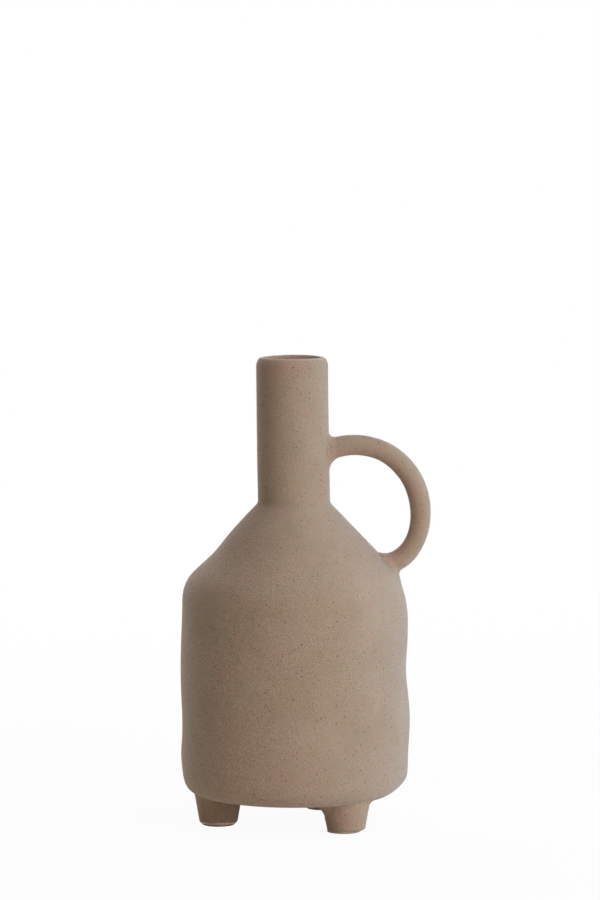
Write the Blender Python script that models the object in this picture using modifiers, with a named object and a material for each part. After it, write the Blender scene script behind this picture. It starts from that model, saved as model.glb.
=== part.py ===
"""A hand-built bottle vase on three feet, with a ring handle: eight clay pieces luted together.

The vessel is a pressed floor, a rolled wall, a coned shoulder and a neck. The handle is a coil bent
to a ring, and the feet are tapered pegs. Their ends are spread a little and pressed on to the
vessel, so each is cut to the vessel's own skin. Every piece follows the same small swells and
dents that the maker's hands left, so the seams stay shut all the way round.
Lengths are in metres, +Z is up, the handle points to +X, and the feet stand at height zero.
"""

import math
from collections import namedtuple

import bmesh
import bpy
from mathutils import Vector
from mathutils.geometry import intersect_line_sphere_2d

# Heights, stacked from the floor up
FOOT_HEIGHT = 0.0190
BODY_HEIGHT = 0.1348
SHOULDER_RISE = 0.0525
NECK_LENGTH = 0.0937

# The vessel's outline
BODY_RADIUS = 0.0728
NECK_RADIUS = 0.0231
BASE_ROUND = 0.0125
SHOULDER_ROUND = 0.0250
CREASE_ROUND = 0.0030
LIP_HEIGHT = 0.0058

# Clay thicknesses
FLOOR_THICKNESS = 0.0070
WALL_THICKNESS = 0.0058
NECK_THICKNESS = 0.0055

# The gap at every seam, and the bevel of the vessel's seams, which rise inwards to shed water
SEAM_GAP = 0.0003
SEAM_RISE = 0.0030
BASE_SEAM_ABOVE_ROUND = 0.0060
SHOULDER_SEAM_BELOW_ROUND = 0.0030

# The ring handle: its centre is measured from the neck's wall and from the neck's root
RING_RADIUS = 0.0430
COIL_RADIUS = 0.0065
RING_CENTRE_OUT = 0.0146
RING_CENTRE_BELOW = 0.0058
HANDLE_SPREAD = 0.0026
HANDLE_SPREAD_LENGTH = 0.0080

# The three feet, by bearing in degrees: set by eye at about a third of a turn from each other, on a
# circle inside the body's wall
FEET = {"foot_left": 195, "foot_right": 310, "foot_rear": 69.5}
FOOT_INSET = 0.0220
FOOT_SOLE_RADIUS = 0.0101
FOOT_BEVEL = 0.0022
FOOT_TOP_RADIUS = 0.0152
FOOT_SPREAD = 0.0030
FOOT_SPREAD_DEGREES = 60

# How far a pressed-on piece reaches into the vessel's skin before it is trimmed to it
TRIM_DEPTH = 0.0015

# How far the neck's lip leans away from the handle
NECK_LEAN = 0.0017

# Facets
TURN_STEPS = 60
WALL_STEP = 0.0130
CORNER_STEPS = 5
LIP_STEPS = 6
COIL_RESOLUTION = 8
RING_STEP_DEGREES = 5.0
FOOT_STEPS = 24
SMOOTH_UNDER_DEGREES = 40

# Colours of the clay, linear: as it is fired, and where the soles were wiped
STONEWARE = (0.330, 0.245, 0.180, 1.0)
BARE_CLAY = (0.340, 0.205, 0.150, 1.0)
CLAY_ROUGHNESS = 0.92

underside_z = FOOT_HEIGHT
shoulder_z = underside_z + BODY_HEIGHT
neck_root_z = shoulder_z + SHOULDER_RISE
lip_z = neck_root_z + NECK_LENGTH
ring_centre = Vector((NECK_RADIUS + RING_CENTRE_OUT, neck_root_z - RING_CENTRE_BELOW))

# Swells (+) and dents (-) that the maker's hands left in the vessel: the height and the bearing in
# degrees of each, its reach up and down, its spread in degrees round the vessel, and its depth
Touch = namedtuple("Touch", "height bearing reach spread depth")
TOUCHES = (
    Touch(underside_z + 0.003, 0, 0.007, 60, -0.0030),
    Touch(underside_z + 0.009, 180, 0.007, 50, -0.0008),
    Touch(underside_z + 0.001, 180, 0.005, 50, 0.0007),
    Touch(underside_z + 0.045, 180, 0.015, 50, -0.0004),
    Touch(underside_z + 0.047, 0, 0.018, 50, 0.0013),
    Touch(underside_z + 0.080, 0, 0.015, 55, -0.0013),
    Touch(underside_z + 0.080, 180, 0.026, 60, 0.0006),
    Touch(underside_z + 0.060, 275, 0.026, 45, -0.0005),
    Touch(underside_z + 0.042, 110, 0.026, 50, 0.0006),
    Touch(underside_z + 0.098, 80, 0.028, 50, -0.0006),
    Touch(shoulder_z - 0.002, 0, 0.012, 45, -0.0020),
    Touch(shoulder_z - 0.010, 180, 0.018, 50, -0.0006),
    Touch(shoulder_z + 0.020, 180, 0.009, 60, -0.0017),
    Touch(shoulder_z + 0.040, 180, 0.010, 60, 0.0003),
)

# The same on the handle's coil: the bend in degrees from level, its reach in degrees, how far the
# coil's middle moves outwards, and how much its radius grows
CoilTouch = namedtuple("CoilTouch", "bend reach out swell")
COIL_TOUCHES = (
    CoilTouch(60, 20, 0.0003, 0.0),
    CoilTouch(14, 20, -0.0002, 0.0002),
    CoilTouch(-26, 18, 0.0006, -0.0003),
    CoilTouch(-56, 10, -0.0012, 0.0004),
)


def smooth(share):
    """0 up to 0, 1 from 1 on, and an easy curve between."""
    share = min(1.0, max(0.0, share))
    return share * share * (3 - 2 * share)


def hand_offset(height, bearing):
    """How far the vessel's skin stands out of true at this height, at a bearing in radians."""
    offset = -NECK_LEAN * smooth((height - shoulder_z) / (lip_z - shoulder_z)) * math.cos(bearing)
    for touch in TOUCHES:
        up = (height - touch.height) / touch.reach
        turn = (math.degrees(bearing) - touch.bearing + 180) % 360 - 180
        offset += touch.depth * math.exp(-up * up - (turn / touch.spread) ** 2)
    return offset


def hand_shaped(point):
    """The place that a point of the true, turned vessel has on the hand-made one."""
    radius = math.hypot(point.x, point.y)
    bearing = math.atan2(point.y, point.x)
    share = min(1.0, radius / (NECK_RADIUS - NECK_THICKNESS))
    radius += share * hand_offset(point.z, bearing)
    return Vector((radius * math.cos(bearing), radius * math.sin(bearing), point.z))


def rounded(corners):
    """An outline through (radius, height, rounding) corners, with an arc at each rounded one."""
    outline = [Vector(corners[0][:2])]
    for before, corner, after in zip(corners, corners[1:], corners[2:]):
        here = Vector(corner[:2])
        back = (Vector(before[:2]) - here).normalized()
        ahead = (Vector(after[:2]) - here).normalized()
        half = back.angle(ahead) / 2
        centre = here + (back + ahead).normalized() * corner[2] / math.sin(half)
        first = here + back * corner[2] / math.tan(half) - centre
        last = here + ahead * corner[2] / math.tan(half) - centre
        for step in range(CORNER_STEPS + 1):
            outline.append(centre + first.slerp(last, step / CORNER_STEPS).normalized() * corner[2])
    outline.append(Vector(corners[-1][:2]))
    return outline


def stepped(outline):
    """The same outline, with its long runs up the wall cut into steps that can follow the touches."""
    out = [outline[0]]
    for a, b in zip(outline, outline[1:]):
        steps = max(1, round(abs(b.y - a.y) / WALL_STEP))
        out += [a.lerp(b, step / steps) for step in range(1, steps + 1)]
    return out


def vessel_outline(floor_depth, wall_depth, neck_depth):
    """The vessel's outline moved into the clay by these depths, from the axis up to the lip."""
    down_cone = Vector((BODY_RADIUS - NECK_RADIUS, -SHOULDER_RISE)).normalized()
    inward = Vector((down_cone.y, -down_cone.x))
    edge = Vector((BODY_RADIUS, shoulder_z)) + inward * wall_depth
    body = BODY_RADIUS - wall_depth
    neck = NECK_RADIUS - neck_depth

    def on_cone(radius):
        return edge.y + (radius - edge.x) * down_cone.y / down_cone.x

    return stepped(rounded((
        (0, underside_z + floor_depth),
        (body, underside_z + floor_depth, BASE_ROUND - wall_depth),
        (body, on_cone(body), SHOULDER_ROUND - wall_depth),
        (neck, on_cone(neck), CREASE_ROUND + wall_depth),
        (neck, lip_z - LIP_HEIGHT),
    )))


def stretch(outline, low, high):
    """The part of an outline between two heights, with a point exactly at each end it reaches."""
    out = []
    for a, b in zip(outline, outline[1:]):
        if low < a.y < high:
            out.append(a)
        for height in (low, high):
            if a.y < height < b.y:
                out.append(a.lerp(b, (height - a.y) / (b.y - a.y)))
    if low < outline[-1].y < high:
        out.append(outline[-1])
    return out


def seam_heights():
    """The heights, at the vessel's outside, of its three seams from the lowest up."""
    cone_lean = math.atan2(BODY_RADIUS - NECK_RADIUS, SHOULDER_RISE)
    above_base = underside_z + BASE_ROUND + BASE_SEAM_ABOVE_ROUND
    shoulder_round = SHOULDER_ROUND * math.tan(cone_lean / 2)
    below_shoulder = shoulder_z - shoulder_round - SHOULDER_SEAM_BELOW_ROUND
    in_crease = neck_root_z - CREASE_ROUND * math.tan(cone_lean / 2) * math.cos(cone_lean)
    return above_base, below_shoulder, in_crease


def turned(name, profile, steps, is_loop=False):
    """A solid of revolution from (radius, height) points that run down its outer side."""
    blank_mesh = bpy.data.meshes.new(name + "_profile")
    edges = [(i, i + 1) for i in range(len(profile) - 1)]
    if is_loop:
        edges.append((len(profile) - 1, 0))
    blank_mesh.from_pydata([(p.x, 0, p.y) for p in profile], edges, [])
    blank = bpy.data.objects.new(name + "_profile", blank_mesh)
    bpy.context.scene.collection.objects.link(blank)
    screw = blank.modifiers.new("turn", "SCREW")
    screw.steps = steps
    screw.render_steps = steps
    screw.use_merge_vertices = True
    screw.merge_threshold = 0.00001
    solid = as_mesh(blank)
    solid.name = name
    return solid


def as_mesh(source):
    """The mesh of an object as its modifiers leave it; the object itself is removed."""
    depsgraph = bpy.context.evaluated_depsgraph_get()
    mesh = bpy.data.meshes.new_from_object(source.evaluated_get(depsgraph))
    bpy.data.objects.remove(source)
    return mesh


def vessel_piece(name, profile, is_loop=True):
    """One turned piece of the vessel, with the maker's touches in it."""
    mesh = turned(name, profile, TURN_STEPS, is_loop)
    for vertex in mesh.vertices:
        vertex.co = hand_shaped(vertex.co)
    return mesh


def vessel_pieces():
    """The floor, wall, shoulder and neck, which meet at bevelled seams."""
    outside = vessel_outline(0, 0, 0)
    inside = vessel_outline(FLOOR_THICKNESS, WALL_THICKNESS, NECK_THICKNESS)
    top = lip_z + LIP_HEIGHT

    def section(low, high):
        half = SEAM_GAP / 2
        inner = stretch(inside, low + SEAM_RISE + half, high + SEAM_RISE - half)
        outer = stretch(outside, low + half, high - half)
        return inner, outer[::-1]

    lip_middle = NECK_RADIUS - NECK_THICKNESS / 2
    lip = []
    for step in range(1, LIP_STEPS):
        turn = math.pi * step / LIP_STEPS
        out = lip_middle - NECK_THICKNESS / 2 * math.cos(turn)
        lip.append(Vector((out, lip_z - LIP_HEIGHT + LIP_HEIGHT * math.sin(turn))))

    low_seam, mid_seam, high_seam = seam_heights()
    floor_inner, floor_outer = section(0, low_seam)
    wall_inner, wall_outer = section(low_seam, mid_seam)
    shoulder_inner, shoulder_outer = section(mid_seam, high_seam)
    neck_inner, neck_outer = section(high_seam, top)
    return [
        vessel_piece("floor_dish", floor_inner + floor_outer, is_loop=False),
        vessel_piece("body_wall", wall_inner + wall_outer),
        vessel_piece("shoulder", shoulder_inner + shoulder_outer),
        vessel_piece("neck", neck_inner + lip + neck_outer),
    ]


def luting_skin():
    """The whole vessel, filled and one seam gap proud, which trims what is pressed on to it."""
    proud = vessel_outline(-SEAM_GAP, -SEAM_GAP, -SEAM_GAP)
    return vessel_piece("luting_skin", [Vector((0, proud[-1].y))] + proud[::-1], is_loop=False)


def ring_bends():
    """The bends, in radians about the ring's centre, at which its middle meets neck and shoulder."""
    shoulder_edge = Vector((BODY_RADIUS, shoulder_z))
    neck_root = Vector((NECK_RADIUS, neck_root_z))
    neck_top = Vector((NECK_RADIUS, lip_z))
    on_neck = intersect_line_sphere_2d(neck_root, neck_top, ring_centre, RING_RADIUS, False)
    on_shoulder = intersect_line_sphere_2d(shoulder_edge, neck_root, ring_centre, RING_RADIUS, False)
    high = max(on_neck, key=lambda point: point.y) - ring_centre
    low = max(on_shoulder, key=lambda point: point.x) - ring_centre
    return math.atan2(high.y, high.x), math.atan2(low.y, low.x)


def handle_mesh():
    """The coil, bent to a ring and spread at both ends, which reach into the vessel."""
    upper, lower = ring_bends()
    overrun = (COIL_RADIUS + HANDLE_SPREAD) / RING_RADIUS
    first = upper + overrun
    last = lower - overrun
    count = round(math.degrees(first - last) / RING_STEP_DEGREES)
    curve = bpy.data.curves.new("handle_coil", "CURVE")
    curve.dimensions = "3D"
    curve.bevel_depth = COIL_RADIUS
    curve.bevel_resolution = COIL_RESOLUTION
    curve.use_fill_caps = True
    spline = curve.splines.new("POLY")
    spline.points.add(count)
    for step, point in enumerate(spline.points):
        bend = first + (last - first) * step / count
        from_end = min(upper - bend, bend - lower) * RING_RADIUS
        thick = COIL_RADIUS + HANDLE_SPREAD * (1 - smooth(from_end / HANDLE_SPREAD_LENGTH))
        reach = RING_RADIUS
        for touch in COIL_TOUCHES:
            share = math.exp(-((math.degrees(bend) - touch.bend) / touch.reach) ** 2)
            reach += touch.out * share
            thick += touch.swell * share
        point.co = (ring_centre.x + reach * math.cos(bend), 0, ring_centre.y + reach * math.sin(bend), 1)
        point.radius = thick / COIL_RADIUS
    coil = bpy.data.objects.new("handle_coil", curve)
    bpy.context.scene.collection.objects.link(coil)
    mesh = as_mesh(coil)
    mesh.name = "handle"
    build = bmesh.new()
    build.from_mesh(mesh)
    bmesh.ops.remove_doubles(build, verts=build.verts, dist=0.00001)
    build.to_mesh(mesh)
    build.free()
    return mesh


def underside_rise(radius):
    """How far the vessel's underside has risen, at this distance from the axis."""
    into_round = max(0.0, radius - (BODY_RADIUS - BASE_ROUND))
    return BASE_ROUND - math.sqrt(max(0.0, BASE_ROUND**2 - into_round**2))


def foot_mesh(name, bearing):
    """A tapered peg with a bevelled sole, spread at its top and worked up under the vessel's edge."""
    flare = math.radians(FOOT_SPREAD_DEGREES)
    spread_z = FOOT_HEIGHT - FOOT_SPREAD * math.sin(flare)
    flared = FOOT_TOP_RADIUS + FOOT_SPREAD * (1 - math.cos(flare))
    head = flared + TRIM_DEPTH * math.tan(flare)
    profile = [Vector((0, FOOT_HEIGHT + TRIM_DEPTH)), Vector((head, FOOT_HEIGHT + TRIM_DEPTH))]
    for step in range(CORNER_STEPS + 1):
        turn = flare * (1 - step / CORNER_STEPS)
        out = FOOT_TOP_RADIUS + FOOT_SPREAD * (1 - math.cos(turn))
        profile.append(Vector((out, spread_z + FOOT_SPREAD * math.sin(turn))))
    profile.append(Vector((FOOT_SOLE_RADIUS + FOOT_BEVEL, FOOT_BEVEL)))
    profile.append(Vector((FOOT_SOLE_RADIUS, 0)))
    profile.append(Vector((0, 0)))
    mesh = turned(name, profile, FOOT_STEPS)
    stand = Vector((math.cos(bearing), math.sin(bearing), 0)) * (BODY_RADIUS - FOOT_INSET)
    for vertex in mesh.vertices:
        vertex.co += stand
        rise = underside_rise(math.hypot(vertex.co.x, vertex.co.y))
        vertex.co.z += rise * smooth(vertex.co.z / FOOT_HEIGHT)
    return mesh


def clay(name, colour):
    """Matte clay, one material for each piece."""
    material = bpy.data.materials.new(name + "_clay")
    material.use_nodes = True
    shader = material.node_tree.nodes["Principled BSDF"]
    shader.inputs["Base Color"].default_value = colour
    shader.inputs["Roughness"].default_value = CLAY_ROUGHNESS
    shader.inputs["Metallic"].default_value = 0.0
    return material


def add_piece(mesh, collection, parent):
    """Puts one piece in its collection, smooth but for its real edges, in its own clay."""
    mesh.shade_smooth()
    mesh.set_sharp_from_angle(angle=math.radians(SMOOTH_UNDER_DEGREES))
    mesh.materials.append(clay(mesh.name, STONEWARE))
    piece = bpy.data.objects.new(mesh.name, mesh)
    piece.parent = parent
    collection.objects.link(piece)
    return piece


def wipe_sole(foot):
    """Shows the bare clay on the sole of a foot and on its bevel."""
    foot.data.materials.append(clay(foot.name + "_sole", BARE_CLAY))
    for face in foot.data.polygons:
        if face.center.z < FOOT_BEVEL:
            face.material_index = 1


def press_on(piece, cutter):
    """Cuts a piece to the skin of the vessel that it is pressed on to."""
    trim = piece.modifiers.new("luting", "BOOLEAN")
    trim.operation = "DIFFERENCE"
    trim.solver = "EXACT"
    trim.object = cutter


def centre_on_axis(parent, pieces):
    """Moves the vase so that the middle of its box stands over the origin."""
    bpy.context.view_layer.update()
    depsgraph = bpy.context.evaluated_depsgraph_get()
    points = []
    for piece in pieces:
        points += [vertex.co.copy() for vertex in piece.evaluated_get(depsgraph).data.vertices]
    for axis in (0, 1):
        low = min(point[axis] for point in points)
        high = max(point[axis] for point in points)
        parent.location[axis] = -(low + high) / 2
    bpy.context.view_layer.update()


def main():
    for old in list(bpy.data.objects):
        bpy.data.objects.remove(old)
    vase = bpy.data.collections.new("footed_vase")
    cutters = bpy.data.collections.new("cutters")
    bpy.context.scene.collection.children.link(vase)
    bpy.context.scene.collection.children.link(cutters)
    axis = bpy.data.objects.new("vase_axis", None)
    vase.objects.link(axis)

    skin = bpy.data.objects.new("luting_skin", luting_skin())
    skin.parent = axis
    skin.hide_render = True
    skin.display_type = "WIRE"
    cutters.objects.link(skin)

    vessel = [add_piece(mesh, vase, axis) for mesh in vessel_pieces()]
    pressed = [add_piece(handle_mesh(), vase, axis)]
    for name, degrees in FEET.items():
        foot = add_piece(foot_mesh(name, math.radians(degrees)), vase, axis)
        wipe_sole(foot)
        pressed.append(foot)
    for piece in pressed:
        press_on(piece, skin)
    centre_on_axis(axis, vessel + pressed)


main()
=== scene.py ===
"""The looks of the footed vase: a smooth vessel, a luted ring handle and three luted feet.

Every size is in metres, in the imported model's frame: +Z up, the handle towards +X.
The outline, the ring and the feet follow the solids' sizes. The touches of the maker's hand, the
rim and the fillets of soft clay are worked out a little further here than in the solids.
"""

import math
from collections import namedtuple

import bmesh
import bpy
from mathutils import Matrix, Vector, noise
from mathutils.bvhtree import BVHTree
from mathutils.geometry import intersect_line_sphere_2d


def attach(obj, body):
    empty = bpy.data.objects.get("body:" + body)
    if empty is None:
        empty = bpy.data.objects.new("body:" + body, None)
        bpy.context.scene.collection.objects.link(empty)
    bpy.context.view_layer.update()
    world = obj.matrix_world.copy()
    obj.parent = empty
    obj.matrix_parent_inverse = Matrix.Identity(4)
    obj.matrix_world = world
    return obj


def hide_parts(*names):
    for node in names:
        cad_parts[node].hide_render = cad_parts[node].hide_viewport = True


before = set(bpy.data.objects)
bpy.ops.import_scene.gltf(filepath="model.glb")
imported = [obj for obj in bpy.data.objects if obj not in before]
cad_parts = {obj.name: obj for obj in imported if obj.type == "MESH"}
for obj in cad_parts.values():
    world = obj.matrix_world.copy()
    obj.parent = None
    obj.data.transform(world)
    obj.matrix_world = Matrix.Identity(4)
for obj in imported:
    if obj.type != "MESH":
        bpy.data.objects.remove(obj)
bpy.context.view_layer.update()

# The vessel's axis in the frame, whose origin is the middle of the whole vase's box
AXIS_X = -0.0069
AXIS_Y = -0.0003

# Heights, stacked from the floor up
FOOT_HEIGHT = 0.0190
BODY_HEIGHT = 0.1348
SHOULDER_RISE = 0.0525
NECK_LENGTH = 0.0937

# The vessel's outline
BODY_RADIUS = 0.0728
NECK_RADIUS = 0.0231
BASE_ROUND = 0.0125
SHOULDER_ROUND = 0.0250
CREASE_ROUND = 0.0045
LIP_HEIGHT = 0.0058
FLOOR_THICKNESS = 0.0070
WALL_THICKNESS = 0.0058
NECK_THICKNESS = 0.0055
NECK_LEAN = 0.0017

# The lip's crest is nearer its inner edge, and the rim isn't quite level: it rises (+) or sinks (-)
# around a bearing, over a spread, both in degrees, and this fades out down the neck
LIP_CREST_INWARD = 0.0006
RimRise = namedtuple("RimRise", "bearing spread rise")
RIM_RISES = (RimRise(-80, 60, 0.00040), RimRise(150, 35, -0.00035), RimRise(20, 30, -0.00020))
RIM_FADE = 4 * LIP_HEIGHT

# The ring handle, and its fillets of soft clay where it is luted on, towards the ring's outside and
# towards its middle
RING_RADIUS = 0.0430
COIL_RADIUS = 0.0065
RING_CENTRE_OUT = 0.0146
RING_CENTRE_BELOW = 0.0058
CoilFillet = namedtuple("CoilFillet", "outer inner")
NECK_FILLET = CoilFillet(0.0048, 0.0066)
SHOULDER_FILLET = CoilFillet(0.0034, 0.0062)

# The feet: bearing in degrees, radius of the sole, how far the sole is off centre towards +X, and the
# fillets of soft clay under the vessel on the +X, +Y, -X and -Y sides
Foot = namedtuple("Foot", "bearing sole_radius sole_shift fillets")
FEET = {
    "foot_left": Foot(195, 0.0101, 0.0, (0.0070, 0.0060, 0.0010, 0.0009)),
    "foot_right": Foot(310, 0.0104, -0.0016, (0.0030, 0.0060, 0.0110, 0.0009)),
    "foot_rear": Foot(69.5, 0.0101, 0.0, (0.0030, 0.0020, 0.0060, 0.0060)),
}
FOOT_INSET = 0.0220
FOOT_EDGE_RADIUS = 0.0123
FOOT_BEVEL = 0.0022
FOOT_TOP_RADIUS = 0.0152
SOLE_ROUND = 0.0004
BEVEL_ROUND = 0.0012

# How fine the meshes are
AROUND_VESSEL = 288
OUTLINE_STEP = 0.0016
INSIDE_STEP = OUTLINE_STEP * 2
ARC_STEP_DEGREES = 6
AROUND_COIL = 48
RING_STEP_DEGREES = 1.6
FILLET_STEPS = 9
FOOT_SIDE_STEPS = 10

# Where the ends of the coil and the feet are looked for: this far to both sides of the ring's middle
# where it meets the vessel, and between these heights of a foot. The range is halved so many times,
# and the point found is then moved to its distance off the skin so many times
RING_SEARCH_DEGREES = 25
FOOT_SEARCH_FROM = FOOT_HEIGHT / 2
FOOT_SEARCH_TO = FOOT_HEIGHT * 1.6
HALVINGS = 24
SETTLINGS = 2

# Each end goes on under the vessel's skin, as a narrow skirt and a closed tip
SKIRT_DEPTH = 0.0004
SKIRT_WIDTH = 4 * SKIRT_DEPTH
TIP_DEPTH = 4 * SKIRT_DEPTH

# Unevenness of a hand-rolled surface: (wavelength, height) of each ripple
RIPPLES = ((0.042, 0.00020), (0.016, 0.00007))

underside_z = FOOT_HEIGHT
shoulder_z = underside_z + BODY_HEIGHT
neck_root_z = shoulder_z + SHOULDER_RISE
lip_z = neck_root_z + NECK_LENGTH
ring_centre = Vector((NECK_RADIUS + RING_CENTRE_OUT, neck_root_z - RING_CENTRE_BELOW))
axis_place = Vector((AXIS_X, AXIS_Y, 0))

# The maker's swells (+) and dents (-): height, bearing in degrees, reach up and down, spread in
# degrees, and depth
Touch = namedtuple("Touch", "height bearing reach spread depth")
TOUCHES = (
    Touch(underside_z + 0.002, 0, 0.0064, 36, -0.0031),
    Touch(underside_z + 0.009, 180, 0.007, 50, -0.0008),
    Touch(underside_z + 0.001, 180, 0.005, 50, 0.0007),
    Touch(underside_z + 0.026, 180, 0.008, 50, 0.0005),
    Touch(underside_z + 0.045, 180, 0.015, 50, -0.0004),
    Touch(underside_z + 0.047, 0, 0.018, 50, 0.0013),
    Touch(underside_z + 0.080, 0, 0.015, 55, -0.0013),
    Touch(underside_z + 0.080, 180, 0.026, 60, 0.0006),
    Touch(underside_z + 0.060, 275, 0.026, 45, -0.0005),
    Touch(underside_z + 0.042, 110, 0.026, 50, 0.0006),
    Touch(underside_z + 0.098, 80, 0.028, 50, -0.0006),
    Touch(shoulder_z - 0.002, 0, 0.0115, 45, -0.0024),
    Touch(shoulder_z + 0.008, 0, 0.005, 45, 0.0016),
    Touch(shoulder_z - 0.012, 180, 0.018, 50, -0.0004),
    Touch(shoulder_z + 0.020, 180, 0.009, 60, -0.0017),
    Touch(shoulder_z + 0.040, 180, 0.010, 60, 0.0003),
)

# The same on the coil: bend and reach in degrees, how far its middle moves out, and added radius
CoilTouch = namedtuple("CoilTouch", "bend reach out swell")
COIL_TOUCHES = (
    CoilTouch(110, 14, -0.0001, 0.0002),
    CoilTouch(60, 20, 0.0003, 0.0),
    CoilTouch(45, 12, -0.0001, 0.0002),
    CoilTouch(14, 20, -0.0002, 0.0002),
    CoilTouch(-26, 18, 0.0006, -0.0003),
    CoilTouch(-56, 11, -0.0020, 0.0003),
)


def smooth(share):
    """0 up to 0, 1 from 1 on, and an easy curve between."""
    share = min(1.0, max(0.0, share))
    return share * share * (3 - 2 * share)


def degrees_off(bearing, middle):
    """How many degrees a bearing in radians is from a middle in degrees, the short way round."""
    return (math.degrees(bearing) - middle + 180) % 360 - 180


def turns_round(count):
    """Equally spaced turns round a circle, in radians."""
    return [2 * math.pi * step / count for step in range(count)]


def hand_offset(height, bearing):
    """How far the vessel's skin stands out of true at this height, at a bearing in radians."""
    offset = -NECK_LEAN * smooth((height - shoulder_z) / (lip_z - shoulder_z)) * math.cos(bearing)
    for touch in TOUCHES:
        up = (height - touch.height) / touch.reach
        turn = degrees_off(bearing, touch.bearing) / touch.spread
        offset += touch.depth * math.exp(-up * up - turn ** 2)
    return offset


def rim_offset(height, bearing):
    """How far the uneven rim stands above or below level, which fades out down the neck."""
    offset = 0.0
    for part in RIM_RISES:
        offset += part.rise * math.exp(-(degrees_off(bearing, part.bearing) / part.spread) ** 2)
    return offset * smooth((height - lip_z + RIM_FADE) / RIM_FADE)


def ripple(point):
    """The fine unevenness of a hand-rolled surface at this place."""
    return sum(height * noise.noise(point / length) for length, height in RIPPLES)


def rounded(corners):
    """An outline through (radius, height, rounding) corners, with an arc at each rounded one."""
    outline = [Vector(corners[0][:2])]
    for before, corner, after in zip(corners, corners[1:], corners[2:]):
        here = Vector(corner[:2])
        rounding = corner[2]
        back = (Vector(before[:2]) - here).normalized()
        ahead = (Vector(after[:2]) - here).normalized()
        half = back.angle(ahead) / 2
        centre = here + (back + ahead).normalized() * rounding / math.sin(half)
        first = here + back * rounding / math.tan(half) - centre
        last = here + ahead * rounding / math.tan(half) - centre
        steps = math.ceil(math.degrees(first.angle(last)) / ARC_STEP_DEGREES)
        for step in range(steps + 1):
            outline.append(centre + first.slerp(last, step / steps).normalized() * rounding)
    outline.append(Vector(corners[-1][:2]))
    return outline


def stepped(outline, longest):
    """The same outline with its long runs divided."""
    out = [outline[0]]
    for a, b in zip(outline, outline[1:]):
        steps = max(1, round((b - a).length / longest))
        out += [a.lerp(b, step / steps) for step in range(1, steps + 1)]
    return out


def vessel_outline(floor_depth, wall_depth, neck_depth):
    """The vessel's outline moved into the clay by these depths, from the axis up to the lip."""
    down_cone = Vector((BODY_RADIUS - NECK_RADIUS, -SHOULDER_RISE)).normalized()
    inward = Vector((down_cone.y, -down_cone.x))
    edge = Vector((BODY_RADIUS, shoulder_z)) + inward * wall_depth
    body = BODY_RADIUS - wall_depth
    neck = NECK_RADIUS - neck_depth

    def on_cone(radius):
        return edge.y + (radius - edge.x) * down_cone.y / down_cone.x

    return rounded((
        (0, underside_z + floor_depth),
        (body, underside_z + floor_depth, BASE_ROUND - wall_depth),
        (body, on_cone(body), SHOULDER_ROUND - wall_depth),
        (neck, on_cone(neck), CREASE_ROUND + wall_depth),
        (neck, lip_z - LIP_HEIGHT),
    ))


def link(thing):
    """Puts an object into the scene."""
    bpy.context.scene.collection.objects.link(thing)


def add_object(name, build, material):
    """Makes a smooth object from a finished bmesh."""
    bmesh.ops.recalc_face_normals(build, faces=build.faces)
    mesh = bpy.data.meshes.new(name)
    build.to_mesh(mesh)
    build.free()
    mesh.shade_smooth()
    mesh.materials.append(material)
    piece = bpy.data.objects.new(name, mesh)
    link(piece)
    return piece


def skin_rings(build, rings):
    """Joins rings of equally many points into a skin, and returns the rings of vertices."""
    made = [[build.verts.new(point) for point in ring] for ring in rings]
    for ring, following in zip(made, made[1:]):
        for i in range(len(ring)):
            j = (i + 1) % len(ring)
            build.faces.new((ring[i], ring[j], following[j], following[i]))
    return made


def close_end(build, ring, tip):
    """Closes the end of a skin with a fan of faces about one point."""
    middle = build.verts.new(tip)
    for i in range(len(ring)):
        build.faces.new((ring[i], ring[(i + 1) % len(ring)], middle))


def vessel_point(radius, height, bearing):
    """A point of the hand-made vessel, from its place on the true, turned one.

    What the hand did fades out towards the axis, within the radius of the neck's bore.
    """
    share = min(1.0, radius / (NECK_RADIUS - NECK_THICKNESS))
    radius += share * hand_offset(height, bearing)
    height += rim_offset(height, bearing)
    point = axis_place + Vector((radius * math.cos(bearing), radius * math.sin(bearing), height))
    out = Vector((math.cos(bearing), math.sin(bearing), 0))
    return point + out * share * ripple(point)


def make_vessel(material):
    """The vessel from its underside over the lip to the floor inside, as one skin."""
    outside = stepped(vessel_outline(0, 0, 0), OUTLINE_STEP)
    inside = stepped(vessel_outline(FLOOR_THICKNESS, WALL_THICKNESS, NECK_THICKNESS), INSIDE_STEP)
    lip_middle = NECK_RADIUS - NECK_THICKNESS / 2
    lip_steps = round(180 / ARC_STEP_DEGREES)
    lip = []
    for step in range(1, lip_steps):
        turn = math.pi * step / lip_steps
        out = lip_middle + NECK_THICKNESS / 2 * math.cos(turn) - LIP_CREST_INWARD * math.sin(turn) ** 2
        lip.append(Vector((out, lip_z - LIP_HEIGHT + LIP_HEIGHT * math.sin(turn))))
    profile = outside[1:] + lip + inside[:0:-1]
    turns = turns_round(AROUND_VESSEL)
    build = bmesh.new()
    rings = skin_rings(build, [[vessel_point(p.x, p.y, turn) for turn in turns] for p in profile])
    close_end(build, rings[0], axis_place + Vector((0, 0, outside[0].y)))
    close_end(build, rings[-1], axis_place + Vector((0, 0, inside[0].y)))
    return add_object("vessel_skin", build, material)


def surface_of(piece):
    """A tree that finds the nearest point of a piece's surface."""
    mesh = piece.data
    return BVHTree.FromPolygons([v.co for v in mesh.vertices], [p.vertices for p in mesh.polygons])


def height_over(surface, point):
    """How far a point stands off a surface, with the surface's normal there."""
    nearest, normal, _, _ = surface.find_nearest(point)
    return (point - nearest).dot(normal), normal


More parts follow.
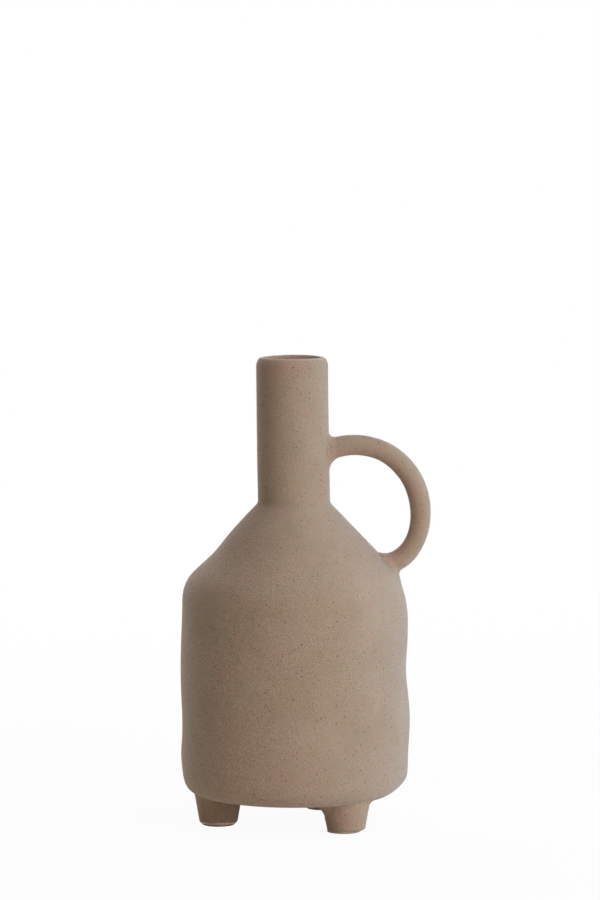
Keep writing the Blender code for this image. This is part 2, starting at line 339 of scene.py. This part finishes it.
def luted_end(surface, skin_at, axis_at, clear, buried, fillet_at):
    """The rings that end a coil on a surface, in an arc of soft clay that meets it flush.

    skin_at(along, turn) is a point of the coil, axis_at(along) its middle. along runs from clear, where
    the coil is well off the surface, to buried, inside it. fillet_at(turn) is the arc's radius. The
    last ring is the skirt, which lies under the surface.
    """
    rings = []
    for step in range(FILLET_STEPS + 2):
        swing = math.pi / 2 * min(1.0, step / FILLET_STEPS)
        ring = []
        for turn in turns_round(AROUND_COIL):
            fillet = fillet_at(turn)
            off = fillet * (1 - math.sin(swing))
            out = fillet * (1 - math.cos(swing))
            if step > FILLET_STEPS:
                off = -SKIRT_DEPTH
                out += SKIRT_WIDTH
            low, high = buried, clear
            for _ in range(HALVINGS):
                along = (low + high) / 2
                if height_over(surface, skin_at(along, turn))[0] > off:
                    high = along
                else:
                    low = along
            point = skin_at(along, turn)
            normal = height_over(surface, point)[1]
            away = point - axis_at(along)
            away = (away - normal * away.dot(normal)).normalized()
            point = point + away * out
            for _ in range(SETTLINGS):
                now, normal = height_over(surface, point)
                point = point + normal * (off - now)
            ring.append(point)
        rings.append(ring)
    return rings


def ring_bends():
    """The bends at which the ring's middle meets the neck and the shoulder."""
    shoulder_edge = Vector((BODY_RADIUS, shoulder_z))
    neck_root = Vector((NECK_RADIUS, neck_root_z))
    neck_top = Vector((NECK_RADIUS, lip_z))
    on_neck = intersect_line_sphere_2d(neck_root, neck_top, ring_centre, RING_RADIUS, False)
    on_shoulder = intersect_line_sphere_2d(shoulder_edge, neck_root, ring_centre, RING_RADIUS, False)
    high = max(on_neck, key=lambda point: point.y) - ring_centre
    low = max(on_shoulder, key=lambda point: point.x) - ring_centre
    return math.atan2(high.y, high.x), math.atan2(low.y, low.x)


def coil_size(bend):
    """The ring's reach and the coil's radius at a bend, with the maker's touches."""
    reach = RING_RADIUS
    thick = COIL_RADIUS
    for touch in COIL_TOUCHES:
        share = math.exp(-((math.degrees(bend) - touch.bend) / touch.reach) ** 2)
        reach += touch.out * share
        thick += touch.swell * share
    return reach, thick


def make_handle(surface, material):
    """The ring handle, from its fillet on the neck round to its fillet on the shoulder."""

    def axis_at(bend):
        reach, _ = coil_size(bend)
        x = ring_centre.x + reach * math.cos(bend)
        z = ring_centre.y + reach * math.sin(bend)
        return axis_place + Vector((x, 0, z))

    def skin_at(bend, turn):
        _, thick = coil_size(bend)
        out = Vector((math.cos(bend), 0, math.sin(bend)))
        point = axis_at(bend) + (out * math.cos(turn) + Vector((0, 1, 0)) * math.sin(turn)) * thick
        return point + (point - axis_at(bend)).normalized() * ripple(point)

    def fillet_of(size):
        middle = (size.outer + size.inner) / 2
        return lambda turn: middle + (size.outer - size.inner) / 2 * math.cos(turn)

    def bend_of(point):
        return math.atan2(point.z - ring_centre.y, point.x - AXIS_X - ring_centre.x)

    upper, lower = ring_bends()
    search = math.radians(RING_SEARCH_DEGREES)
    neck_end = luted_end(surface, skin_at, axis_at, upper - search, upper + search,
                         fillet_of(NECK_FILLET))
    low_end = luted_end(surface, skin_at, axis_at, lower + search, lower - search,
                        fillet_of(SHOULDER_FILLET))
    first = [bend_of(point) for point in neck_end[0]]
    last = [bend_of(point) for point in low_end[0]]
    count = math.ceil(math.degrees(upper - lower) / RING_STEP_DEGREES)
    turns = turns_round(AROUND_COIL)
    middle = []
    for step in range(1, count):
        share = step / count
        middle.append([skin_at(a + (b - a) * share, turn) for a, b, turn in zip(first, last, turns)])
    build = bmesh.new()
    rings = skin_rings(build, neck_end[::-1] + middle + low_end)
    close_end(build, rings[0], sum(neck_end[-1], Vector()) / AROUND_COIL)
    close_end(build, rings[-1], sum(low_end[-1], Vector()) / AROUND_COIL)
    return add_object("handle_coil", build, material)


def foot_radius(height):
    """The radius of a foot's tapered side at this height."""
    return FOOT_EDGE_RADIUS + (FOOT_TOP_RADIUS - FOOT_EDGE_RADIUS) * (height - FOOT_BEVEL) / (
        FOOT_HEIGHT - FOOT_BEVEL)


def make_foot(name, foot, surface, material):
    """One tapered foot, from its sole over the wiped bevel up to its fillet under the vessel."""
    bearing = math.radians(foot.bearing)
    out = Vector((math.cos(bearing), math.sin(bearing), 0))
    stand = axis_place + out * (BODY_RADIUS - FOOT_INSET)
    turns = turns_round(AROUND_COIL)

    def axis_at(height):
        return stand + Vector((0, 0, height))

    def skin_at(height, turn):
        return axis_at(height) + Vector((math.cos(turn), math.sin(turn), 0)) * foot_radius(height)

    def fillet(turn):
        right, back, left, front = foot.fillets
        along_x = right if math.cos(turn) > 0 else left
        along_y = back if math.sin(turn) > 0 else front
        return along_y + (along_x - along_y) * smooth(2 * abs(math.cos(turn)) - 1)

    top = luted_end(surface, skin_at, axis_at, FOOT_SEARCH_FROM, FOOT_SEARCH_TO, fillet)
    above_bevel = FOOT_BEVEL * 2
    edge = rounded((
        (foot.sole_radius / 2, 0),
        (foot.sole_radius, 0, SOLE_ROUND),
        (FOOT_EDGE_RADIUS, FOOT_BEVEL, BEVEL_ROUND),
        (foot_radius(above_bevel), above_bevel),
    ))
    rings = []
    for point in edge:
        shift = foot.sole_shift * smooth((FOOT_BEVEL - point.y) / FOOT_BEVEL)
        middle = axis_at(point.y) + Vector((shift, 0, 0))
        rings.append([middle + Vector((math.cos(turn), math.sin(turn), 0)) * point.x for turn in turns])
    edge_end = rings[-1]
    for step in range(1, FOOT_SIDE_STEPS):
        share = step / FOOT_SIDE_STEPS
        rings.append([low.lerp(high, share) for low, high in zip(edge_end, top[0])])
    build = bmesh.new()
    made = skin_rings(build, rings + top)
    close_end(build, made[0], stand + Vector((foot.sole_shift, 0, 0)))
    close_end(build, made[-1], axis_at(FOOT_HEIGHT + TIP_DEPTH))
    return add_object(name + "_peg", build, material)


# The clay's colours
PALE_CLAY = (0.417, 0.294, 0.1935, 1)
DARK_CLAY = (0.381, 0.262, 0.168, 1)
PINK_CLAY = (0.436, 0.270, 0.1875, 1)
OLIVE_CLAY = (0.373, 0.276, 0.154, 1)
DARK_SPECK = (0.110, 0.055, 0.032, 1)
PALE_SPECK = (0.620, 0.510, 0.400, 1)
# Bare clay, painted brighter for the light the floor throws on it, and painted shade for the sole
BARE_CLAY_AND_FLOOR_LIGHT = (0.950, 0.620, 0.500, 1)
SOLE_SHADE_CLAY = (0.110, 0.058, 0.040, 1)
# A painted highlight for the lip's crest
CREST_HIGHLIGHT = (0.540, 0.400, 0.290, 1)

# Patterns of noise: wavelength, detail and roughness, and the levels between which each is used
Pattern = namedtuple("Pattern", "wavelength detail rough low high")
CLOUDS = Pattern(0.040, 3.0, 0.55, 0.35, 0.65)
PINK_CLOUDS = Pattern(0.030, 3.0, 0.50, 0.48, 0.72)
PINK_SPOT_EDGES = Pattern(0.012, 3.0, 0.60, 0.20, 0.50)
PINK_MOTTLES = Pattern(0.0075, 3.0, 0.60, 0.50, 0.75)
OLIVE_MOTTLES = PINK_MOTTLES._replace(high=0.25)
GRAIN = Pattern(0.00048, 0.0, 0.50, 0.25, 0.75)
WIPING = Pattern(0.0070, 3.0, 0.50, 0.30, 0.70)
POLISH = Pattern(0.0022, 2.0, 0.50, 0.30, 0.70)
PINK_CLOUD_STRENGTH = 0.45
MOTTLE_STRENGTH = 0.50

# Places where the clay is pinker. The one inside the mouth, at its back right, is painted shade. Each
# is at its full strength within a core of its reach
PinkSpot = namedtuple("PinkSpot", "place reach strength")
PINK_SPOTS = (
    PinkSpot((-0.038, -0.060, 0.050), 0.050, 0.45),
    PinkSpot((-0.012, -0.070, 0.040), 0.035, 0.45),
    PinkSpot((-0.024, -0.017, 0.2970), 0.014, 1.0),
    PinkSpot((-0.016, -0.021, 0.2965), 0.014, 1.0),
    PinkSpot((-0.006, -0.024, 0.2960), 0.011, 0.8),
    # Painted shade: this pink stands for the shadow on the back right of the mouth's inside
    PinkSpot((0.000, 0.014, 0.2950), 0.018, 1.0),
    PinkSpot((-0.022, -0.060, 0.019), 0.018, 0.9),
    PinkSpot((0.026, -0.052, 0.010), 0.011, 1.0),
)
PINK_SPOT_CORE = 0.3

# Painted bounce light: inside the ring, where the coil is in shade, the clay is painted pinker for the
# warm light that the vessel throws back. It fades in between these distances from the ring's centre
# and from the ring's plane
RING_BOUNCE_INSIDE = (RING_RADIUS + 0.0010, RING_RADIUS - 0.0020)
RING_BOUNCE_NEAR_PLANE = (COIL_RADIUS + 0.0020, COIL_RADIUS + 0.0005)
RING_BOUNCE_LIGHT_STRENGTH = 0.90

# The grain of sand swings the clay's tone, most at the vase's left and least at its right, and less
# on the neck, between these places. The stronger swing at the left is painted shade: it stands for
# the sand's relief where light grazes that side. The neck is a little darker too
GRAIN_SHADE_SPAN_X = (-0.065, 0.045)
RIGHT_GRAIN = 0.09
NECK_GRAIN_Z = (0.190, 0.215)
NECK_GRAIN_SHARE = 0.70
NECK_TONE_Z = (0.160, 0.215)
NECK_TONE = 0.96

# Specks: how far apart, smallest and largest radius, seed, least and most strength, and colour. A
# speck's edge fades between these shares of its radius
Specks = namedtuple("Specks", "apart smallest largest seed weakest strongest colour")
DARK_DUST = Specks(0.0017, 0.00010, 0.00022, 2.9, 0.60, 0.60, DARK_SPECK)
PALE_DUST = Specks(0.0016, 0.00010, 0.00024, 6.3, 0.60, 0.60, PALE_SPECK)
GROG = Specks(0.0034, 0.00015, 0.00036, 4.1, 0.50, 0.50, PALE_SPECK)
IRON = Specks(0.0025, 0.00020, 0.00050, 1.7, 0.40, 0.95, DARK_SPECK)
SPECK_EDGE = (0.75, 1.15)

# Painted highlight: the lip's crest is painted paler, where light from above catches it, between
# these depths below its top
CREST_HIGHLIGHT_DEPTHS = (0.0008, 0.0003)
CREST_HIGHLIGHT_STRENGTH = 0.65

# A foot's lower edge is wiped to bare clay up to a wavy height, more of it on the left foot and
# higher on its front. The bare clay is painted brighter, for the light the floor throws on it, most on
# the shaded left foot. At the sole is a line of painted shade, where the foot meets the floor. The
# strengths are those at the other feet and at the left one
LEFT_FOOT_X = (-0.02, -0.03)
LEFT_FRONT_Y = (-0.0188, -0.0206)
LEFT_FRONT_RISE = 0.0015
WIPED_HEIGHTS = (0.0009, 0.0016)
WIPED_FADE = 0.0002
BARE_AND_FLOOR_LIGHT_STRENGTHS = (0.80, 1.0)
SOLE_SHADE_Z = (0.0008, 0.0012)
SOLE_SHADE_STRENGTHS = (0.30, 0.90)

# The surface's relief and gloss
SAND_WAVELENGTH = 0.00080
SAND_HEIGHT = 0.00070
LUMP_WAVELENGTH = 0.0060
LUMP_HEIGHT = 0.00020
RELIEF_DETAIL = 1.0
IRON_PIT_DEPTH = 0.00012
RELIEF_STRENGTH = 0.80
ROUGHNESS = (0.86, 0.97)
SHEEN_ROUGHNESS = 0.50

# What differs between the vessel's clay and the feet's: grain at the left, with its painted relief
# shade, tone, specular level, sheen, and whether the lower edge is wiped, with its painted light and
# shade
Clay = namedtuple("Clay", "left_grain tone specular sheen wiped")
VESSEL_CLAY = Clay(0.33, 1.0, 0.30, 0.27, False)
FOOT_CLAY = Clay(0.16, 1.06, 0.20, 0.16, True)


class Nodes:
    """Shorthand for building a node tree."""

    def __init__(self, tree):
        self.tree = tree
        tree.nodes.clear()

    def add(self, kind, links=(), **settings):
        """Adds a node with its settings, and links or sets its inputs by name or number."""
        node = self.tree.nodes.new(kind)
        for name, value in settings.items():
            setattr(node, name, value)
        for socket, value in dict(links).items():
            if isinstance(value, bpy.types.NodeSocket):
                self.tree.links.new(value, node.inputs[socket])
            else:
                node.inputs[socket].default_value = value
        return node

    def noise(self, where, wavelength, detail, rough=0.5):
        """Noise from 0 to 1 whose features are about a wavelength across."""
        made = self.add("ShaderNodeTexNoise", {
            "Vector": where, "Scale": 1 / wavelength, "Detail": detail, "Roughness": rough,
        })
        return made.outputs["Fac"]

    def span(self, value, low, high, to_low=0.0, to_high=1.0):
        """The value brought from one range to another, eased and held at its ends."""
        made = self.add("ShaderNodeMapRange", {
            "Value": value, "From Min": low, "From Max": high, "To Min": to_low, "To Max": to_high,
        }, interpolation_type="SMOOTHSTEP")
        return made.outputs["Result"]

    def pattern(self, where, kind, to_low=0.0, to_high=1.0):
        """A pattern of noise, brought from its own levels to a range."""
        made = self.noise(where, kind.wavelength, kind.detail, kind.rough)
        return self.span(made, kind.low, kind.high, to_low, to_high)

    def maths(self, operation, a, b=0.0):
        """One sum."""
        return self.add("ShaderNodeMath", {0: a, 1: b}, operation=operation).outputs[0]

    def distance(self, a, b):
        """How far apart two places are."""
        return self.add("ShaderNodeVectorMath", {0: a, 1: b}, operation="DISTANCE").outputs["Value"]

    def mix(self, share, a, b, blend="MIX"):
        """Two colours mixed."""
        made = self.add("ShaderNodeMix", {0: share, 6: a, 7: b}, data_type="RGBA", blend_type=blend)
        return made.outputs[2]

    def specks(self, where, kind):
        """1 in scattered specks and 0 between them, and each speck's strength."""
        shift = (kind.seed, kind.seed * 2, kind.seed * 3)
        moved = self.add("ShaderNodeVectorMath", {0: where, 1: shift}).outputs[0]
        cells = self.add("ShaderNodeTexVoronoi", {"Vector": moved, "Scale": 1 / kind.apart}).outputs
        choice = self.add("ShaderNodeSeparateColor", {"Color": cells["Color"]}).outputs
        size = self.span(choice["Red"], 0, 1, kind.smallest / kind.apart, kind.largest / kind.apart)
        shape = self.span(self.maths("DIVIDE", cells["Distance"], size), *SPECK_EDGE, 1, 0)
        return shape, self.span(choice["Green"], 0, 1, kind.weakest, kind.strongest)

    def seen(self):
        """1 for rays from the camera, also by way of a reflection or through glass, 0 for others."""
        rays = self.add("ShaderNodeLightPath").outputs
        direct = self.maths("MAXIMUM", rays["Is Camera Ray"], rays["Is Glossy Ray"])
        return self.maths("MAXIMUM", direct, rays["Is Transmission Ray"])


def clay_colour(n, where, place):
    """The clay's colour: slow clouds, pinker patches and small mottles, with painted bounce light inside
    the ring and painted shade inside the mouth.
    """
    colour = n.mix(n.pattern(where, CLOUDS), DARK_CLAY, PALE_CLAY)
    pink_and_painted_light = n.pattern(where, PINK_CLOUDS, 0.0, PINK_CLOUD_STRENGTH)
    edges = n.pattern(where, PINK_SPOT_EDGES)
    # One of these places, inside the mouth, is painted shade
    for spot in PINK_SPOTS:
        apart = n.distance(where, spot.place)
        near = n.span(apart, spot.reach, spot.reach * PINK_SPOT_CORE, 0.0, spot.strength)
        pink_and_painted_light = n.maths("MAXIMUM", pink_and_painted_light, n.maths("MULTIPLY", near, edges))
    # Painted warm bounce light inside the ring, where the coil is in shade
    side_view = n.add("ShaderNodeCombineXYZ", {"X": place["X"], "Z": place["Z"]}).outputs[0]
    from_centre = n.distance(side_view, (AXIS_X + ring_centre.x, 0, ring_centre.y))
    off_plane = n.maths("ABSOLUTE", place["Y"])
    ring_bounce_light = n.maths("MULTIPLY", n.span(from_centre, *RING_BOUNCE_INSIDE), n.span(off_plane, *RING_BOUNCE_NEAR_PLANE))
    pink_and_painted_light = n.maths("MAXIMUM", pink_and_painted_light, n.maths("MULTIPLY", ring_bounce_light, RING_BOUNCE_LIGHT_STRENGTH))
    colour = n.mix(pink_and_painted_light, colour, PINK_CLAY)
    colour = n.mix(n.pattern(where, PINK_MOTTLES, 0.0, MOTTLE_STRENGTH), colour, PINK_CLAY)
    return n.mix(n.pattern(where, OLIVE_MOTTLES, 0.0, MOTTLE_STRENGTH), colour, OLIVE_CLAY)


def sandy_tone(n, where, place, clay):
    """The grey that the clay's colour is multiplied by, for its grain of sand and its tone; the grain is
    stronger at the left as painted shade of the sand's relief.
    """
    # Painted relief shade: the grain swings more at the left
    swing = n.span(place["X"], *GRAIN_SHADE_SPAN_X, clay.left_grain, RIGHT_GRAIN)
    swing = n.maths("MULTIPLY", swing, n.span(place["Z"], *NECK_GRAIN_Z, 1.0, NECK_GRAIN_SHARE))
    darkest = n.maths("SUBTRACT", 1.0, swing)
    palest = n.maths("ADD", 1.0, swing)
    tone = n.span(place["Z"], *NECK_TONE_Z, clay.tone, NECK_TONE)
    grey = n.maths("MULTIPLY", n.pattern(where, GRAIN, darkest, palest), tone)
    return n.add("ShaderNodeCombineColor", {"Red": grey, "Green": grey, "Blue": grey}).outputs["Color"]


def speckled(n, where, colour, kind):
    """The colour with one kind of specks scattered over it, and the places of those specks."""
    shape, strength = n.specks(where, kind)
    return n.mix(n.maths("MULTIPLY", shape, strength), colour, kind.colour), shape


def wiped_edge_and_painted_light(n, where, place, colour, grey):
    """The colour with a foot's lower edge wiped back to raw clay, painted brighter for the floor's
    light, and painted shade at its sole.
    """
    on_left = n.span(place["X"], *LEFT_FOOT_X)
    on_left_front = n.maths("MULTIPLY", on_left, n.span(place["Y"], *LEFT_FRONT_Y))
    wiped = n.pattern(where, WIPING, *WIPED_HEIGHTS)
    wiped = n.maths("ADD", wiped, n.maths("MULTIPLY", on_left_front, LEFT_FRONT_RISE))
    # Bare clay, painted brighter for the floor's light, most on the shaded left foot
    bare_and_lit = n.span(n.maths("SUBTRACT", place["Z"], wiped), -WIPED_FADE, WIPED_FADE, 1.0, 0.0)
    bare_and_lit = n.maths("MULTIPLY", bare_and_lit, n.span(on_left, 0, 1, *BARE_AND_FLOOR_LIGHT_STRENGTHS))
    colour = n.mix(bare_and_lit, colour, n.mix(1.0, BARE_CLAY_AND_FLOOR_LIGHT, grey, "MULTIPLY"))
    # Painted shade at the sole, where the foot meets the floor
    sole_shade = n.span(place["Z"], *SOLE_SHADE_Z, 1.0, 0.0)
    sole_shade = n.maths("MULTIPLY", sole_shade, n.span(on_left, 0, 1, *SOLE_SHADE_STRENGTHS))
    return n.mix(sole_shade, colour, SOLE_SHADE_CLAY)


def relief(n, where, iron):
    """The surface's normal: grains of sand, low lumps, and pits at the iron specks."""
    sand = n.maths("MULTIPLY", n.noise(where, SAND_WAVELENGTH, RELIEF_DETAIL), SAND_HEIGHT)
    lumps = n.maths("MULTIPLY", n.noise(where, LUMP_WAVELENGTH, RELIEF_DETAIL), LUMP_HEIGHT)
    pits = n.maths("MULTIPLY", iron, IRON_PIT_DEPTH)
    height = n.maths("SUBTRACT", n.maths("ADD", sand, lumps), pits)
    bump = n.add("ShaderNodeBump", {"Height": height, "Strength": RELIEF_STRENGTH, "Distance": 1.0})
    return bump.outputs["Normal"]


def clay_material(name, clay):
    """Matte, speckled, unglazed stoneware."""
    material = bpy.data.materials.new(name)
    material.use_nodes = True
    n = Nodes(material.node_tree)
    where = n.add("ShaderNodeTexCoord").outputs["Object"]
    place = n.add("ShaderNodeSeparateXYZ", {"Vector": where}).outputs

    grey = sandy_tone(n, where, place, clay)
    colour = n.mix(1.0, clay_colour(n, where, place), grey, "MULTIPLY")
    for kind in (DARK_DUST, PALE_DUST, GROG):
        colour, _ = speckled(n, where, colour, kind)
    colour, iron = speckled(n, where, colour, IRON)
    # Painted highlight on the lip's crest
    crest_low, crest_high = CREST_HIGHLIGHT_DEPTHS
    crest_highlight = n.span(place["Z"], lip_z - crest_low, lip_z - crest_high, 0.0, CREST_HIGHLIGHT_STRENGTH)
    colour = n.mix(crest_highlight, colour, CREST_HIGHLIGHT)
    # The wiped edge, with painted light and shade
    if clay.wiped:
        colour = wiped_edge_and_painted_light(n, where, place, colour, grey)

    shader = n.add("ShaderNodeBsdfPrincipled", {
        "Base Color": colour,
        "Roughness": n.pattern(where, POLISH, *ROUGHNESS),
        "Normal": relief(n, where, iron),
        "Specular IOR Level": clay.specular,
        "Sheen Weight": clay.sheen,
        "Sheen Roughness": SHEEN_ROUGHNESS,
    })
    n.add("ShaderNodeOutputMaterial", {"Surface": shader.outputs[0]})
    return material


body_clay = clay_material("speckled_stoneware", VESSEL_CLAY)
foot_clay = clay_material("foot_stoneware", FOOT_CLAY)

vessel = make_vessel(body_clay)
vessel_surface = surface_of(vessel)
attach(vessel, "root")
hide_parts("floor_dish", "body_wall", "shoulder", "neck")

handle = make_handle(vessel_surface, body_clay)
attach(handle, "root")
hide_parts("handle")

for foot_name, foot_form in FEET.items():
    peg = make_foot(foot_name, foot_form, vessel_surface, foot_clay)
    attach(peg, "root")
    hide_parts(foot_name)


# The floor is pale paper under the lamps, but looks white to the camera. Near the vase it keeps a
# share of the paper's look, and so the vase's shadow, and this fades out between two distances
WHITE = (1, 1, 1, 1)
FLOOR_PAPER = (0.86, 0.81, 0.72, 1)
FLOOR_REACH = 40.0
FLOOR_Z = -0.0001
NEAR_WHITENESS = 0.95
FADE_DISTANCES = (0.25, 1.20)

# The strength of the even light from all round
AMBIENT = 0.082

# The lamps: bearing in degrees from the camera's side, 90 being the handle's, and angle above level,
# width and height, power in watts, and tint
COOL = (0.61, 1.0, 1.48)
SOFT = (1.05, 1.0, 1.00)
WARM = (1.08, 1.0, 0.92)
Softbox = namedtuple("Softbox", "bearing rise width height power tint")
SOFTBOXES = {
    "lamp_right": Softbox(60, 20, 1.0, 1.2, 7.4, COOL),
    "lamp_front_right": Softbox(35, 25, 0.8, 0.8, 9.4, SOFT),
    "lamp_low_right": Softbox(45, 3, 1.0, 0.4, 2.6, SOFT),
    "lamp_behind_right": Softbox(120, 10, 1.2, 1.6, 10.8, COOL),
    "lamp_behind_left": Softbox(-150, 8, 1.2, 1.4, 16.0, WARM),
    "lamp_behind": Softbox(180, 22, 0.8, 0.8, 5.0, COOL),
    "lamp_top": Softbox(90, 80, 1.2, 1.2, 7.6, SOFT),
}
LAMP_DISTANCE = 1.6
LAMP_AIM_Z = 0.15

# The camera, as fitted to the photograph: lens in mm, place from the vessel's axis, how many degrees
# it looks down, and its turn to the left in radians
CAMERA_LENS = 189.44
CAMERA_BACK = 3.0186
CAMERA_Z = 0.5408
CAMERA_DOWN = 5.685
CAMERA_TURN = -0.0011
CAMERA_REACH = 100


def make_floor():
    """A wide floor, white to the camera, that keeps the vase's soft shadow."""
    build = bmesh.new()
    corners = ((-1, -1), (1, -1), (1, 1), (-1, 1))
    build.faces.new([build.verts.new((x * FLOOR_REACH, y * FLOOR_REACH, FLOOR_Z)) for x, y in corners])
    mesh = bpy.data.meshes.new("floor")
    build.to_mesh(mesh)
    build.free()
    material = bpy.data.materials.new("white_floor")
    material.use_nodes = True
    n = Nodes(material.node_tree)
    paper = n.add("ShaderNodeBsdfDiffuse", {"Color": FLOOR_PAPER})
    glow = n.add("ShaderNodeEmission", {"Color": WHITE, "Strength": 1.0})
    where = n.add("ShaderNodeTexCoord").outputs["Object"]
    whiteness = n.span(n.distance(where, (0, 0, 0)), *FADE_DISTANCES, NEAR_WHITENESS, 1.0)
    share = n.maths("MULTIPLY", n.seen(), whiteness)
    both = n.add("ShaderNodeMixShader", {0: share, 1: paper.outputs[0], 2: glow.outputs[0]})
    n.add("ShaderNodeOutputMaterial", {"Surface": both.outputs[0]})
    mesh.materials.append(material)
    floor = bpy.data.objects.new("floor", mesh)
    link(floor)


def make_world():
    """White where the camera or a reflection looks, and a dim even light on the vase."""
    world = bpy.data.worlds.new("studio")
    world.use_nodes = True
    bpy.context.scene.world = world
    n = Nodes(world.node_tree)
    white = n.add("ShaderNodeBackground", {"Color": WHITE, "Strength": 1.0})
    dim = n.add("ShaderNodeBackground", {"Color": WHITE, "Strength": AMBIENT})
    both = n.add("ShaderNodeMixShader", {0: n.seen(), 1: dim.outputs[0], 2: white.outputs[0]})
    n.add("ShaderNodeOutputWorld", {"Surface": both.outputs[0]})


def add_softbox(name, box):
    """A soft lamp aimed at the vase."""
    turn = math.radians(box.bearing)
    rise = math.radians(box.rise)
    out = Vector((math.sin(turn) * math.cos(rise), -math.cos(turn) * math.cos(rise), math.sin(rise)))
    lamp = bpy.data.lights.new(name, "AREA")
    lamp.shape = "RECTANGLE"
    lamp.size = box.width
    lamp.size_y = box.height
    lamp.energy = box.power
    lamp.color = box.tint
    lit = bpy.data.objects.new(name, lamp)
    lit.location = Vector((0, 0, LAMP_AIM_Z)) + out * LAMP_DISTANCE
    lit.rotation_euler = out.to_track_quat("Z", "Y").to_euler()
    link(lit)


def make_camera():
    """The photograph's view: about 3 m away, above the lip and looking slightly down."""
    camera = bpy.data.cameras.new("camera")
    camera.lens = CAMERA_LENS
    camera.clip_end = CAMERA_REACH
    placed = bpy.data.objects.new("camera", camera)
    placed.location = axis_place + Vector((0, -CAMERA_BACK, CAMERA_Z))
    placed.rotation_euler = (math.radians(90 - CAMERA_DOWN), 0, CAMERA_TURN)
    link(placed)
    bpy.context.scene.camera = placed


make_floor()
make_world()
for lamp_name, softbox in SOFTBOXES.items():
    add_softbox(lamp_name, softbox)
make_camera()
bpy.context.scene.view_settings.view_transform = "Standard"
